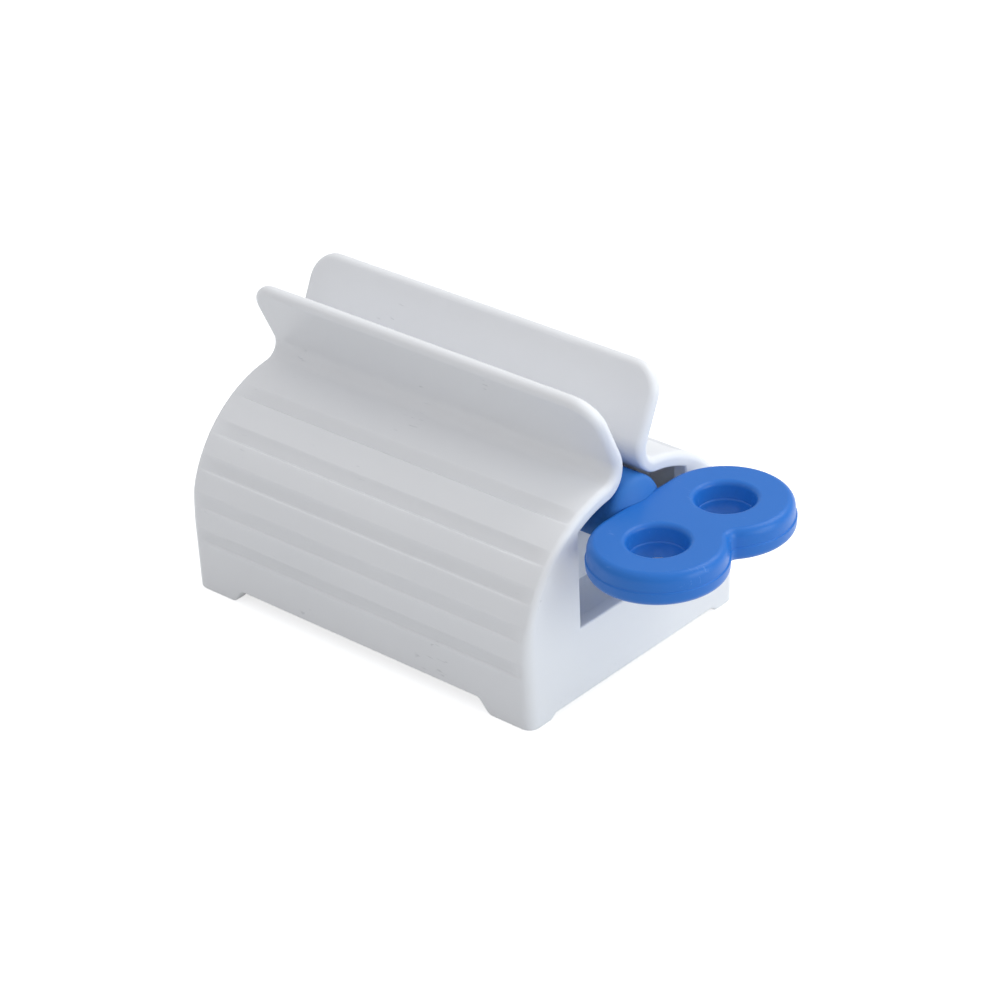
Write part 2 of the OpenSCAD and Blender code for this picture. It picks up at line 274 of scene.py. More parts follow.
whiteFinish = plastic("whitePlastic", whitePlastic)
shadedInnerFinish = plastic("whitePlasticInsideShaded", shadedInnerPlastic)
blueFinish = plastic("bluePlastic", bluePlastic)
spindleFinish = plastic("blueSpindlePlastic", spindlePlastic)
print("materials made")


# holder shell: one bent wall each side, closed by an end plate with a window; lean is in degrees

shell = dict(wall=2.3, draft=0.3, wallTop=12.0, shoulder=22.3, neck=2.4, slot=3.4, lean=25.0, lip=9.535,
             lipCorner=5.0, lipRim=1.1, shoulderEdge=1.1, corner=2.0, windowWide=25.8, sill=13.0,
             windowEdge=0.35, footEdge=0.5, footLong=8.1, footWide=4.9, footRise=2.4, footSlope=2.9,
             endRise=0.8, endSlope=1.5, reliefTop=9.0, footFlat=1.0, lowRow=4, steadyFrom=8.05)
steps = dict(edge=6, lipCorner=10, foot=4, slope=8, plate=4)
gaps = dict(wall=1.5, neck=0.45, lip=1.6, long=2.6, inside=2.4)  # the most between two rows or columns

halfWall = shell["wall"] / 2
holderWide = holderHigh.y - holderLow.y
halfLong = (holderHigh.x - holderLow.x) / 2
shoulderY = holderWide / 2 - shell["shoulder"]
hollowY = shell["slot"] / 2 + shell["wall"] + shell["neck"]
hollowReach = shell["shoulder"] + shell["neck"]
hollowZ = shell["wallTop"] + math.sqrt(hollowReach ** 2 - (hollowY - shoulderY) ** 2)
hollowTurn = math.atan2(hollowZ - shell["wallTop"], hollowY - shoulderY)
leanTurn = math.radians(shell["lean"])
shoulderMid = shell["shoulder"] - halfWall
neckMid = shell["neck"] + halfWall
neckFrom = shell["wallTop"] + shoulderMid * hollowTurn
lipFrom = neckFrom + neckMid * (hollowTurn + leanTurn)
lipEnd = lipFrom + shell["lip"] + shell["wall"]


def wallPoint(x, along, out):
    # along runs up the middle of the wall from the foot, out is towards the outside
    if along <= shell["wallTop"]:
        return x, holderWide / 2 - halfWall + out, along
    if along <= neckFrom:
        turn = (along - shell["wallTop"]) / shoulderMid
        reach = shoulderMid + out
        return x, shoulderY + reach * math.cos(turn), shell["wallTop"] + reach * math.sin(turn)
    turn = max(hollowTurn - (along - neckFrom) / neckMid, -leanTurn)
    reach, rise = neckMid - out, max(along - lipFrom, 0)
    return (x, hollowY - reach * math.cos(turn) + rise * math.sin(leanTurn),
            hollowZ - reach * math.sin(turn) + rise * math.cos(leanTurn))


def draftAt(along):
    return shell["draft"] * max(1 - along / shell["wallTop"], 0)


def liftFeet(place):
    # raises the lower edge between the feet, in one smooth step at each side
    x, y, z = place
    if z >= shell["reliefTop"]:
        return place
    lift = 0
    for reach, rise, foot, slope, half in (
            (abs(x - holderMiddle), shell["footRise"], shell["footLong"], shell["footSlope"], halfLong),
            (abs(y), shell["endRise"], shell["footWide"], shell["endSlope"], holderWide / 2)):
        step = min(max((half - foot - reach) / slope, 0), 1)
        lift += rise * (1 - math.cos(math.pi * step)) / 2
    return x, y, lift + z * (shell["reliefTop"] - lift) / shell["reliefTop"]


# grip bands: sunk strips along the shoulder, each with a ledge below and a slope that runs out above
# topFrom is a share of the pitch

bands = dict(count=5, width=2.8, pitch=6.2, top=1.2, topFrom=0.4, deep=0.4, start=-1.44, soft=0.45,
             slopePower=4.0, fadeFrom=1.0, fadeLong=3.2, roofClear=0.6, jambClear=0.7, sillClear=1.0,
             neckClear=1.0, skinDeep=0.4, edgeDeep=2.6, edgeSpare=0.01)
bandInputs = {"Count": "count", "Width": "width", "Pitch": "pitch", "Top Extra": "top", "Depth": "deep",
              "Start": "start", "Softness": "soft"}
ledgeShares = (-0.3, 0, 0.17, 0.33, 0.5, 0.67, 0.83, 1, 1.3)
slopeShares = (0.25, 0.37, 0.5, 0.62, 0.74, 0.86, 0.96, 1, 1.04)
offBands = -99.0


def bandStations():
    # rows across each band, close together at its lower ledge, as places up the middle of the wall
    stations = []
    for i in range(bands["count"]):
        low = bands["start"] + i * bands["pitch"] - bands["width"] / 2
        low += bands["top"] if i == bands["count"] - 1 else 0
        offsets = [bands["soft"] * share for share in ledgeShares]
        offsets += [bands["width"] * share for share in slopeShares]
        for place in (low + offset for offset in offsets):
            scale = shoulderMid / shell["shoulder"] if place > 0 else 1
            stations.append(shell["wallTop"] + place * scale)
    return stations


def fillRows(rows, most):
    # adds rows where the first values lie further apart than most
    full = [rows[0]]
    for row in rows[1:]:
        last = full[-1]
        count = max(int(math.ceil(abs(row[0] - last[0]) / most)), 1)
        full += [tuple(a + (b - a) * (i + 1) / count for a, b in zip(last, row)) for i in range(count)]
    return full


def fillGaps(stations, most):
    # the same for single places, put in order
    ordered = sorted(set(round(s, 6) for s in stations))
    return [row[0] for row in fillRows([(s,) for s in ordered], most)]


jambTurn = math.acos((shell["windowWide"] / 2 - shoulderY) / (shell["shoulder"] - shell["wall"]))
jambAlong = shell["wallTop"] + shoulderMid * jambTurn
cornerStart = lipEnd - shell["lipCorner"]
wallRows = fillGaps([shell["footEdge"], shell["reliefTop"], shell["wallTop"], jambAlong, neckFrom]
                    + bandStations(), gaps["wall"])
neckRows = fillGaps([neckFrom, lipFrom], gaps["neck"])[1:]
lipRows = fillGaps([lipFrom, cornerStart], gaps["lip"])[1:]
straightRows = wallRows + neckRows + lipRows
jambRow = min(range(len(straightRows)), key=lambda i: abs(straightRows[i] - jambAlong))


def eased(share):
    share = min(max(share, 0), 1)
    return share * share * (3 - 2 * share)


def blend(along):
    # 0 on the shoulder, 1 on the lip
    return eased((along - neckFrom) / (lipFrom - neckFrom))


def edgeOut(along):
    # radius of the outer edge where the wall meets the end face
    outerY = shoulderY + shell["shoulder"] * math.cos(max(along - shell["wallTop"], 0) / shoulderMid)
    if along <= neckFrom:
        return min(shell["corner"], max(outerY - holderWide / 2 + shell["corner"], shell["shoulderEdge"]))
    return shell["shoulderEdge"] + blend(along) * (shell["lipRim"] - shell["shoulderEdge"])


def edgeIn(along):
    return shell["windowEdge"] + blend(along) * (shell["lipRim"] - shell["windowEdge"])


def shellRows():
    # a row's place, its way out in the wall's own surface, how far it reaches from the holder's middle,
    # and the radii of its outer and inner edges
    rows = [dict(along=s, reach=halfLong, wayX=1.0, wayUp=0.0, outEdge=edgeOut(s), inEdge=edgeIn(s))
            for s in straightRows]
    for turn in quarter(steps["lipCorner"])[1:]:
        wayX, wayUp = math.cos(turn), math.sin(turn)
        rows.append(dict(along=cornerStart + shell["lipCorner"] * wayUp,
                         reach=halfLong - shell["lipCorner"] + shell["lipCorner"] * wayX,
                         wayX=wayX, wayUp=wayUp, outEdge=shell["lipRim"], inEdge=shell["lipRim"]))
    return rows


footEnd = shell["footLong"] + shell["footSlope"]
stationsX = fillGaps([side * (halfLong - inset) for side in (-1, 1)
                      for inset in (shell["wall"], shell["footLong"], footEnd)], gaps["long"])
for side in (-1, 1):
    start = side * (halfLong - shell["footLong"])
    stationsX += [start - side * shell["footSlope"] * i / steps["slope"] for i in range(1, steps["slope"])]
stationsX = sorted(set(round(x, 5) for x in stationsX))
flatReach = halfLong - shell["windowEdge"]
fullX = [-flatReach] + stationsX + [flatReach]
steadyX = halfLong - shell["steadyFrom"]
arcSteps = quarter(steps["edge"])


def columnsOf(flat):
    # the stations along X, drawn in near the ends so that the last one stands at flat
    drawn = (flat - steadyX) / (flatReach - steadyX)
    return [x if abs(x) <= steadyX else math.copysign(steadyX + (abs(x) - steadyX) * drawn, x)
            for x in fullX]


def wallRow(row, edge, out):
    # a row of the wall's outer or inner face, as far as its rounded edges
    base = row["along"] - edge * row["wayUp"]
    return [wallPoint(holderMiddle + x, base, out) for x in columnsOf(row["reach"] - edge * row["wayX"])]


def rim(row, end, flatX=None):
    # across the wall's edge at one end of a row, as its outer and its inner half
    outFace = halfWall - draftAt(row["along"])
    halves = []
    for edge, face, inward in ((row["outEdge"], outFace, -1), (row["inEdge"], -halfWall, 1)):
        start = row["reach"] - edge * row["wayX"]
        half = []
        for turn in arcSteps:
            x = end * (start + edge * math.sin(turn) * row["wayX"]) if flatX is None else flatX
            along = row["along"] - edge * row["wayUp"] * (1 - math.sin(turn))
            half.append(wallPoint(holderMiddle + x, along, face + inward * edge * (1 - math.cos(turn))))
        halves.append(half)
    return halves


def footRow(step):
    # a row of the rounded lower edge, from the flat underneath to the wall
    turn = math.pi / 2 * step / steps["foot"]
    inset, z = shell["footEdge"] * (1 - math.sin(turn)), shell["footEdge"] * (1 - math.cos(turn))
    wallY = holderWide / 2 - draftAt(z)
    left = shell["corner"] - inset
    straight = [(holderMiddle + x, wallY - inset, z) for x in columnsOf(halfLong - shell["corner"])]
    ends = {end: [(holderMiddle + end * (halfLong - shell["corner"] + left * math.sin(t)),
                   wallY - shell["corner"] + left * math.cos(t), z) for t in arcSteps] for end in (-1, 1)}
    return dict(straight=straight, ends=ends, inset=inset, z=z)


def windowCorner(end, y, z, way):
    # a corner of the window's opening, rounded over towards the end face
    edge = shell["windowEdge"]
    return [(holderMiddle + end * (halfLong - edge * (1 - math.sin(t))),
             y + edge * (1 - math.cos(t)) * way[0],
             z + edge * (1 - math.cos(t)) * way[1]) for t in arcSteps]


def endStations():
    # places across an end plate's lower edge, close together where the feet slope
    slope = holderWide / 2 - shell["footWide"]
    half = [slope - shell["endSlope"] * i / steps["slope"] for i in range(steps["slope"] + 1)]
    half = [slope + shell["footFlat"]] + half + [half[-1] * (1 - i / steps["plate"])
                                                 for i in range(1, steps["plate"])]
    return half + [0.0] + [-y for y in half[::-1]]


def closeEnd(skin, end, rows, feet, lower):
    # the rounded edges, the window and the plate at one end
    rims = [rim(r, end) for r in rows]
    plateX = holderMiddle + end * (halfLong - shell["wall"])
    roofY, roofZ = wallPoint(0, jambAlong, -halfWall)[1:]
    # the roof's corner keeps to the line that halves its angle
    tilt = math.sin(jambTurn) / (1 + math.cos(jambTurn))
    roofCorner = windowCorner(end, roofY, roofZ, (1.0, tilt))
    rims[jambRow] = (rims[jambRow][0], roofCorner)
    # outer edge of every row up to the jamb, then the wall's whole edge above it
    skin.bothSides([f["ends"][end] for f in feet] + [r[0] for r in rims[:jambRow + 1]])
    skin.bothSides([r[0] + r[1][::-1] for r in rims[jambRow:]])
    # jamb and sill, from the plate's inner face to the end face
    strips = [[(plateX, roofY, roofZ)] + roofCorner]
    for y, way in ((shell["windowWide"] / 2, (1.0, -1.0)), (0.0, (0.0, -1.0))):
        strips.append([(plateX, y, shell["sill"])] + windowCorner(end, y, shell["sill"], way))
    skin.bothSides(strips)
    # lower edge of the plate
    acrossY = endStations()
    levels = [(foot["ends"][end][-1], foot["inset"], foot["z"]) for foot in feet]
    lowRows = []
    for first, inset, z in levels + [(rims[0][0][-1], 0, shell["footEdge"])]:
        x = holderMiddle + end * (halfLong - inset)
        lowRows.append([first] + [(x, y, z) for y in acrossY] + [mirrored(first)])
    skin.patch(lowRows)
    # underside of the plate
    innerY = holderWide / 2 - shell["wall"]
    under = [(plateX, y, 0) for y in [innerY] + acrossY + [-innerY]]
    skin.patch([lowRows[0], under])
    flat = feet[0]["straight"]
    fan = ([flat[1], flat[0]] if end < 0 else [flat[-2], flat[-1]]) + feet[0]["ends"][end]
    for a, b in zip(fan, fan[1:]):
        skin.face([a, b, under[0]])
        skin.face([mirrored(a), mirrored(b), mirrored(under[0])])
    # the flat end face and the plate's inner face, each as one outline
    outside = [r[0][-1] for r in rims[:jambRow + 1]] + [strip[-1] for strip in strips]
    inside = [row[0 if end < 0 else -1] for row in lower] + [strip[0] for strip in strips[1:]]
    for half, foot in ((outside, lowRows[-1]), (inside, under)):
        skin.face(half + [mirrored(p) for p in half[:-1]][::-1] + foot[::-1][1:-1])


def makeShell():
    skin = Skin()
    rows = shellRows()
    outer = [wallRow(r, r["outEdge"], halfWall - draftAt(r["along"])) for r in rows]
    inner = [wallRow(r, r["inEdge"], -halfWall) for r in rows]
    feet = [footRow(i) for i in range(steps["foot"])]
    skin.bothSides([f["straight"] for f in feet] + outer)
    skin.bothSides(inner[jambRow:])
    # the lower inner wall, between the end plates
    lowAlong = fillGaps([0, shell["lowRow"], shell["reliefTop"], shell["wallTop"], jambAlong],
                        gaps["inside"])
    lower = [[wallPoint(holderMiddle + x, s, -halfWall) for x in stationsX] for s in lowAlong]
    lower[-1] = inner[jambRow][1:-1]
    skin.bothSides(lower)
    for end in (-1, 1):
        closeEnd(skin, end, rows, feet, lower)
    # rounded top of each lip, between its two end corners
    top = rows[-1]
    across = []
    for x in [-top["reach"]] + columnsOf(top["reach"])[1:-1] + [top["reach"]]:
        outerHalf, innerHalf = rim(top, 1, flatX=x)
        across.append(outerHalf + innerHalf[::-1])
    skin.bothSides(across)
    # underside of the long walls
    skin.bothSides([feet[0]["straight"][1:-1], lower[0]])
    skin.places = [liftFeet(p) for p in skin.places]
    return skin


def nearWindow(y, z):
    # points on the window's own edge, which the bands leave alone
    roof = shell["shoulder"] - shell["wall"] + bands["roofClear"]
    jamb = shell["windowWide"] / 2 + bands["jambClear"]
    underRoof = math.hypot(max(y - shoulderY, 0), max(z - shell["wallTop"], 0)) < roof
    return underRoof and z > shell["sill"] - bands["sillClear"] and y < jamb


def markBands(piece):
    # the outer skin's place up the wall, and its way out, for the band cutter
    count = len(piece.data.vertices)
    place, way = np.full(count, offBands), np.zeros((count, 3))
    for i, vertex in enumerate(piece.data.vertices):
        x, y, z = vertex.co / mm
        side = 1 if y > 0 else -1
        y, fromMiddle = abs(y), abs(x - holderMiddle)
        if z <= shell["wallTop"]:
            along, out, direction = z - shell["wallTop"], y - holderWide / 2, (1, 0)
        else:
            turn = math.atan2(z - shell["wallTop"], y - shoulderY)
            along = turn * shell["shoulder"]
            out = math.hypot(y - shoulderY, z - shell["wallTop"]) - shell["shoulder"]
            direction = (math.cos(turn), math.sin(turn))
        nearEnd = fromMiddle > halfLong - shell["corner"] - bands["edgeSpare"]
        onEdge = nearEnd and out > -bands["edgeDeep"]
        onShoulder = y > hollowY and z < hollowZ - bands["neckClear"]
        if (out > -bands["skinDeep"] or onEdge) and onShoulder and not nearWindow(y, z):
            place[i] = along
            # a band runs out before it reaches the end faces
            fade = eased((halfLong - fromMiddle - bands["fadeFrom"]) / bands["fadeLong"])
            way[i] = (0, side * direction[0] * fade, direction[1] * fade)
    spot = piece.data.attributes.new("bandPlace", "FLOAT", "POINT")
    spot.data.foreach_set("value", place.astype(np.float32))
    out = piece.data.attributes.new("bandOut", "FLOAT_VECTOR", "POINT")
    out.data.foreach_set("vector", way.astype(np.float32).ravel())


def newTree(name, inputs):
    # a Geometry Nodes tree with named inputs, its group input and output nodes
    tree = bpy.data.node_groups.new(name, "GeometryNodeTree")
    for label, kind in [("Geometry", "Geometry")] + inputs + [("Finish", "Material")]:
        tree.interface.new_socket(label, in_out="INPUT", socket_type="NodeSocket" + kind)
    tree.interface.new_socket("Geometry", in_out="OUTPUT", socket_type="NodeSocketGeometry")
    return tree, tree.nodes.new("NodeGroupInput"), tree.nodes.new("NodeGroupOutput")


def closeTree(tree, given, result, last):
    # every tree ends with real geometry in its finish
    real = tree.nodes.new("GeometryNodeRealizeInstances")
    paint = tree.nodes.new("GeometryNodeSetMaterial")
    tree.links.new(last.outputs["Geometry"], real.inputs["Geometry"])
    tree.links.new(real.outputs["Geometry"], paint.inputs["Geometry"])
    tree.links.new(given.outputs["Finish"], paint.inputs["Material"])
    tree.links.new(paint.outputs["Geometry"], result.inputs["Geometry"])


def bandTree():
    tree, given, result = newTree("gripBands", [(label, "Float") for label in bandInputs])
    link = tree.links.new
    count, width, pitch, topExtra, deep, start, soft = (given.outputs[label] for label in bandInputs)

    def maths(kind, *inputs):
        node = tree.nodes.new("ShaderNodeMath")
        node.operation = kind
        for i, value in enumerate(inputs):
            if isinstance(value, (int, float)):
                node.inputs[i].default_value = value
            else:
                link(value, node.inputs[i])
        return node.outputs[0]

    def named(name, kind):
        node = tree.nodes.new("GeometryNodeInputNamedAttribute")
        node.data_type = kind
        node.inputs["Name"].default_value = name
        return node.outputs["Attribute"]

    # which band a point is nearest to, and how far from its middle; the top one stands a little higher
    place, way = named("bandPlace", "FLOAT"), named("bandOut", "FLOAT_VECTOR")
    last = maths("SUBTRACT", count, 1.0)
    raised = maths("SUBTRACT", place, start)
    topStart = maths("SUBTRACT", last, bands["topFrom"])
    nearTop = maths("GREATER_THAN", maths("DIVIDE", raised, pitch), topStart)
    pitches = maths("DIVIDE", maths("SUBTRACT", raised, maths("MULTIPLY", nearTop, topExtra)), pitch)
    nearest = maths("MINIMUM", maths("MAXIMUM", maths("ROUND", pitches), 0.0), last)
    away = maths("MULTIPLY", maths("SUBTRACT", pitches, nearest), pitch)
    # share of the way across a band, from its lower edge to its upper one
    share = maths("ADD", maths("DIVIDE", away, width), 0.5)
    ledge = tree.nodes.new("ShaderNodeMapRange")
    ledge.interpolation_type = "SMOOTHSTEP"
    link(maths("MULTIPLY", share, width), ledge.inputs["Value"])
    link(soft, ledge.inputs["From Max"])
    climb = maths("POWER", maths("MAXIMUM", share, 0.0), bands["slopePower"])
    slope = maths("MAXIMUM", maths("SUBTRACT", 1.0, climb), 0.0)
    depth = maths("MULTIPLY", slope, ledge.outputs["Result"])
    sink = maths("MULTIPLY", depth, maths("MULTIPLY", deep, -mm))
    # the finish reads how deep each point lies in its band, to paint shade there
    note, reach = tree.nodes.new("GeometryNodeStoreNamedAttribute"), tree.nodes.new("ShaderNodeVectorMath")
    note.inputs["Name"].default_value = "bandPaintedShade"
    reach.operation = "LENGTH"
    link(way, reach.inputs[0])
    link(maths("MULTIPLY", depth, reach.outputs["Value"]), note.inputs["Value"])
    offset = tree.nodes.new("ShaderNodeVectorMath")
    offset.operation = "SCALE"
    link(way, offset.inputs[0])
    link(sink, offset.inputs["Scale"])
    move = tree.nodes.new("GeometryNodeSetPosition")
    link(given.outputs["Geometry"], note.inputs["Geometry"])
    link(note.outputs["Geometry"], move.inputs["Geometry"])
    link(offset.outputs[0], move.inputs["Offset"])
    closeTree(tree, given, result, move)
    return tree


def applyTree(piece, tree, values):
    # runs a Geometry Nodes tree on a piece once and keeps the result as a plain mesh
    run = piece.modifiers.new(tree.name, "NODES")
    run.node_group = tree
    for item in tree.interface.items_tree:
        if item.in_out == "INPUT" and item.name in values:
            run[item.identifier] = values[item.name]
    mesh = bakedMesh(piece)
    piece.modifiers.remove(run)
    piece.data = mesh


holderShell = makeShell().build("shellWalls")
markBands(holderShell)
bandValues = {label: float(bands[key]) for label, key in bandInputs.items()}
applyTree(holderShell, bandTree(), dict(bandValues, Finish=whiteFinish))
evenNormals(holderShell)
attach(holderShell, "holder")
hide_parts("holder_shell")
print("holder shell made")


# key handle: two finger rings in one flat plate, parted near its middle height
# chamfer is the share of the ledge that its soft edge takes

handle = dict(ring=10.9, waist=1.3, topRound=1.6, lowRound=1.3, seam=-0.3, ledge=0.22, chamfer=0.12,
              lean=0.05, soft=0.14, holeTop=5.6, holeRound=0.95, holeSeam=4.4, holeFoot=3.75, footRound=0.1,
              tabWide=8.0, tabThick=4.0, tabInto=3.5, tabSoft=0.3, sharpAngle=60)
handleSteps = dict(ring=72, round=7, foot=4, waist=6, side=6, middle=26)
ringX = handleHigh.x - handle["ring"]
plateX = ringX - handle["ring"]
spread = handleHigh.y - handle["ring"]
halfThick = (handleHigh.z - handleLow.z) / 2
tabHalf, tabHigh = handle["tabWide"] / 2, handle["tabThick"] / 2
waistReach = math.sqrt((handle["ring"] + handle["waist"]) ** 2 - spread ** 2)
waistTurn = math.atan2(spread, waistReach)


def halfOutline(inset):
    # the back half of the plate's outline, drawn in by inset: waist, ring, then the straight side
    reach, fillet = handle["ring"] - inset, handle["waist"] + inset
    waist = [(ringX + waistReach + fillet * math.cos(t), fillet * math.sin(t))
             for t in sweep(math.pi, math.pi - waistTurn, handleSteps["waist"])]
    ring = [(ringX + reach * math.cos(t), spread + reach * math.sin(t))
            for t in sweep(-waistTurn, math.pi, handleSteps["ring"])]
    count = handleSteps["side"]
    side = [(ringX - reach, spread * (1 - i / count)) for i in range(1, count + 1)]
    return waist + ring[1:] + side


def closedHalf(inset):
    # the same, closed along the plate's middle
    outline, count = halfOutline(inset), handleSteps["middle"]
    first, last = outline[0][0], outline[-1][0]
    return outline + [(last + (first - last) * i / count, 0.0) for i in range(1, count)]


def rimProfile():
    # inset and height of the plate's edge, from the flat top to the flat underside
    big, low, ledge = handle["topRound"], handle["lowRound"], handle["ledge"]
    soft, lean, seam = handle["soft"], handle["lean"], handle["seam"]
    inset = ledge + lean
    rows = [(inset + (big - ledge - lean) * (1 - math.sin(t)), halfThick - big * (1 - math.cos(t)))
            for t in quarter(handleSteps["round"])]
    rows += [(ledge, seam + soft), (ledge * handle["chamfer"], seam), (0.0, seam - soft / 2)]
    rows += [(lean + (low - lean) * (1 - math.cos(t)), -halfThick + low * (1 - math.sin(t)))
             for t in quarter(handleSteps["round"])]
    return rows


def holeProfile():
    # radius and height of a finger hole's wall, from the flat top to the flat underside
    top, roll, seam, soft = handle["holeTop"], handle["holeRound"], handle["seam"], handle["soft"]
    ledge, foot, edge, wall = handle["ledge"], handle["holeFoot"], handle["footRound"], handle["holeSeam"]
    rows = [(top - roll * math.sin(t), halfThick - roll * (1 - math.cos(t)))
            for t in quarter(handleSteps["round"])]
    rows += [(wall, seam + soft), (wall - ledge * (1 - handle["chamfer"]), seam),
             (wall - ledge, seam - soft / 2)]
    rows += [(foot + edge * (1 - math.cos(t)), -halfThick + edge * (1 - math.sin(t)))
             for t in quarter(handleSteps["foot"])]
    return rows


def makeHandle():
    skin = Skin()
    edge, hole = rimProfile(), holeProfile()
    skin.bothSides([[(x, y, axisHigh + z) for x, y in halfOutline(inset)] for inset, z in edge])
    top, low = closedHalf(edge[0][0]), closedHalf(edge[-1][0])
    turns = [math.atan2(y - spread, x - ringX) for x, y in top]
    wall = [[(ringX + r * math.cos(t), spread + r * math.sin(t), axisHigh + z) for t in turns]
            for r, z in hole]
    skin.bothSides([[(x, y, axisHigh + halfThick) for x, y in top], wall[0]], loop=True)
    skin.bothSides(wall, loop=True)
    skin.bothSides([wall[-1], [(x, y, axisHigh - halfThick) for x, y in low]], loop=True)
    return skin


def softBlock(name, low, high, soft, segments=3):
    # a block between two corners, with all its edges rounded
    work = bmesh.new()
    bmesh.ops.create_cube(work, size=1)
    for vertex in work.verts:
        place = [(a + b) / 2 + c * (b - a) for a, b, c in zip(low, high, vertex.co)]
        vertex.co = Vector(place) * mm
    return softened(name, work, work.edges[:], soft, segments)


def softPrism(name, outline, x0, x1, soft, segments=3, sharpFrom=30):
    # a (y, z) outline run along X, with the edges that turn more than sharpFrom degrees rounded
    work = bmesh.new()
    near = [work.verts.new(Vector((x0, y, z)) * mm) for y, z in outline]
    far = [work.verts.new(Vector((x1, y, z)) * mm) for y, z in outline]
    work.faces.new(near)
    work.faces.new(far[::-1])
    for i, vertex in enumerate(near):
        work.faces.new((vertex, near[i - 1], far[i - 1], far[i]))
    bmesh.ops.recalc_face_normals(work, faces=work.faces)
    sharp = [edge for edge in work.edges if edge.calc_face_angle() > math.radians(sharpFrom)]
    return softened(name, work, sharp, soft, segments)


def softened(name, work, edges, soft, segments):
    bmesh.ops.bevel(work, geom=edges, offset=soft * mm, segments=segments, profile=0.5, affect="EDGES",
                    clamp_overlap=True)
    bmesh.ops.recalc_face_normals(work, faces=work.faces)
    mesh = bpy.data.meshes.new(name)
    finishMesh(mesh, work)
    return addPiece(name, mesh)


def meltSolids(piece, others, finish, way="UNION", sharpAngle=40):
    # joins solids that overlap into one closed skin, or cuts them out of it
    for other in others:
        cut = piece.modifiers.new(way, "BOOLEAN")
        cut.operation, cut.solver, cut.object = way, "EXACT", other
    mesh = bakedMesh(piece)
    piece.modifiers.clear()
    piece.data = mesh
    for other in others:
        bpy.data.objects.remove(other)
    mesh.materials.clear()
    mesh.materials.append(finish)
    work = bmesh.new()
    work.from_mesh(mesh)
    bmesh.ops.remove_doubles(work, verts=work.verts, dist=meltWeld * mm)
    for face in work.faces:
        face.material_index = 0
    finishMesh(mesh, work, sharpAngle)
    return piece


keyPlate = makeHandle().build("keyPlate", handle["sharpAngle"])
keyTab = softBlock("keyTab", (handleLow.x, -tabHalf, axisHigh - tabHigh),
                   (plateX + handle["tabInto"], tabHalf, axisHigh + tabHigh), handle["tabSoft"])
meltSolids(keyPlate, [keyTab], blueFinish)
evenNormals(keyPlate)
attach(keyPlate, "key")
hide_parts("key_handle")
print("key handle made")


# winding spindle: a round bar with a split for the tube's tail, domed over the handle at its near end
# domeShare is the share of the whole dome that is left where the knee runs into it

spindle = dict(journal=5.8, winding=4.6, split=1.6, nearCone=12.0, taper=2.2, coneSoft=0.25, farPost=-44.6,
               postThick=2.4, spare=1.0, dome=2.2, domeShare=0.84, kneeBack=1.0, kneeOver=0.1, tipRound=1.2,
               bead=0.3, beadGap=0.1, socketGap=0.03, cutSpare=2.0, cutDeep=8.0, cutSoft=0.04, rowGap=5.0,
               sharpAngle=35)
spindleSteps = dict(turn=96, tip=6, cone=3, knee=6, dome=14)
domeReach = (spindle["journal"] ** 2 + spindle["dome"] ** 2) / (2 * spindle["dome"])


def towards(place, other, step):
    away = math.hypot(other[0] - place[0], other[1] - place[1])
    return tuple(a + (b - a) * step / away for a, b in zip(place, other))


def curve(start, knee, end, count):
    # points between start and end on a curve drawn towards the knee, without the first
    shares = [(i + 1) / count for i in range(count)]
    return [tuple((1 - s) ** 2 * a + 2 * s * (1 - s) * b + s * s * c for a, b, c in zip(start, knee, end))
            for s in shares]


def spindleProfile():
    # place along X and radius, from the tips to the dome's crown
    full, thin, tips, bead = (spindle[k] for k in ("journal", "winding", "tipRound", "bead"))
    rows = [(spindleLow.x + tips * (1 - math.cos(t)), full - tips * (1 - math.sin(t)))
            for t in quarter(spindleSteps["tip"])]
    crest = spindle["farPost"] - spindle["beadGap"] - bead
    rows += [(crest + bead * side, full + bead * (1 - side * side)) for side in (-1, -0.5, 0, 0.5, 1)]
    farCone = spindle["farPost"] + spindle["postThick"] + spindle["spare"]
    cones = [(farCone, full), (farCone + spindle["taper"], thin),
             (spindle["nearCone"] - spindle["taper"], thin), (spindle["nearCone"], full)]
    for before, place, after in zip([rows[-1]] + cones, cones, cones[1:] + [(plateX, full)]):
        start, end = (towards(place, other, spindle["coneSoft"]) for other in (before, after))
        rows.append(start)
        rows += curve(start, place, end, spindleSteps["cone"])
    crownX = plateX + spindle["dome"] - domeReach
    edgeTurn = math.asin(full / domeReach) * spindle["domeShare"]
    dome = [(crownX + domeReach * math.cos(t), domeReach * math.sin(t))
            for t in sweep(edgeTurn, 0, spindleSteps["dome"])]
    rows.append((plateX - spindle["kneeBack"], full))
    rows += curve(rows[-1], (plateX + spindle["kneeOver"], full), dome[0], spindleSteps["knee"])
    return rows + dome[1:]


def makeSpindle():
    skin = Skin()
    turns = [2 * math.pi * i / spindleSteps["turn"] for i in range(spindleSteps["turn"])]
    rows = [[(x, r * math.cos(t), axisHigh + r * math.sin(t)) for t in turns]
            for x, r in fillRows(spindleProfile(), spindle["rowGap"])]
    skin.patch(rows, loop=True)
    skin.face(rows[0])
    return skin


windingBar = makeSpindle().build("windingBar", spindle["sharpAngle"])
halfSplit, splitEnd = spindle["split"] / 2, spindle["nearCone"] - spindle["taper"]
gap, cutSpare = spindle["socketGap"], spindle["cutSpare"]
cutReach = spindle["journal"] + cutSpare


